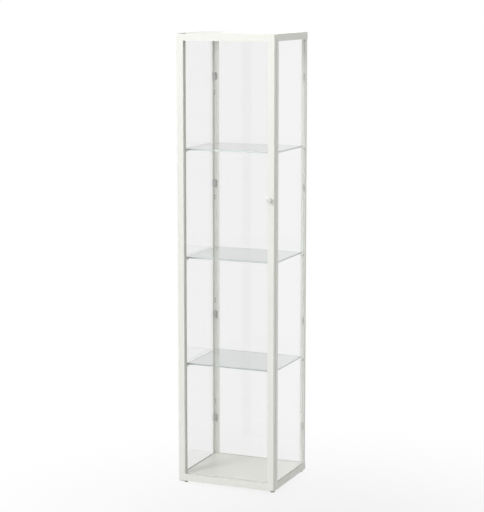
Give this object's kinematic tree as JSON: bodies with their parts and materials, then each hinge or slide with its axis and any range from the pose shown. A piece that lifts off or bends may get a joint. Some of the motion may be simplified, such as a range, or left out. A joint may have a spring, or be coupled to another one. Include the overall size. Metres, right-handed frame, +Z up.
{
  "type": "display cabinet",
  "caption": "Tall narrow display cabinet: white steel frame, glass panes on every side, glass shelves on plug-in brackets and a framed glass door on side pivots.",
  "frame": {"origin": "on the floor, in the middle of the cabinet's width and of its depth with door and knob", "axes": "+Z up along the height, +Y from the door to the back, +X to the right as seen from the front"},
  "size_m": [0.345, 0.32, 1.514],
  "materials": {
    "white_steel": "fine powder coat, semi-matt",
    "door_steel": "fine powder coat, semi-matt",
    "knob_metal": "smooth powder coat",
    "zinc_steel": "zinc plated",
    "pane_glass": "clear float, arrised edges",
    "shelf_glass": "clear float, ground edges",
    "white_plastic": "moulded, satin",
    "grey_plastic": "moulded, matt",
    "rubber": "matt",
    "clear_pad": "soft translucent",
    "tape_foam": "white foam tape",
    "magnet_core": "sintered, matt"
  },
  "bodies": {
    "carcass": {"top_tray": "white_steel", "base_frame": "white_steel", "base_panel": "white_steel", "post_back_left": "white_steel", "post_back_right": "white_steel", "post_front_left": "white_steel", "post_front_right": "white_steel", "frame_studs": "zinc_steel", "frame_nuts": "zinc_steel", "side_glass_left": "pane_glass", "side_glass_right": "pane_glass", "back_glass": "pane_glass", "glass_setting_blocks": "rubber", "glass_clips": "grey_plastic", "clip_screws": "zinc_steel", "shelf_lower": "shelf_glass", "shelf_middle": "shelf_glass", "shelf_upper": "shelf_glass", "shelf_brackets_lower": "white_plastic", "shelf_brackets_middle": "white_plastic", "shelf_brackets_upper": "white_plastic", "shelf_pads_lower": "clear_pad", "shelf_pads_middle": "clear_pad", "shelf_pads_upper": "clear_pad", "hinge_bracket_bottom": "white_steel", "hinge_bracket_top": "white_steel", "hinge_pin_bottom": "zinc_steel", "hinge_pin_top": "zinc_steel", "hinge_screws": "zinc_steel", "magnet_cup": "white_plastic", "magnet": "magnet_core", "door_bumpers": "clear_pad", "foot_front_left": "grey_plastic", "foot_front_right": "grey_plastic", "foot_back_left": "grey_plastic", "foot_back_right": "grey_plastic"},
    "door": {"door_stile_hinge_side": "door_steel", "door_stile_knob_side": "door_steel", "door_rail_bottom": "door_steel", "door_rail_top": "door_steel", "door_glass": "pane_glass", "glazing_tape": "tape_foam", "hinge_bush_bottom": "white_plastic", "hinge_bush_top": "white_plastic", "stile_end_caps": "white_plastic", "knob": "knob_metal", "knob_screw": "zinc_steel"}
  },
  "joints": [
    {"name": "door_hinge", "type": "hinge", "parent": "carcass", "child": "door", "pos_m": [-0.164, -0.1325, 0.7615], "axis": [0, 0, -1], "range_deg": [0, 110]}
  ]
}
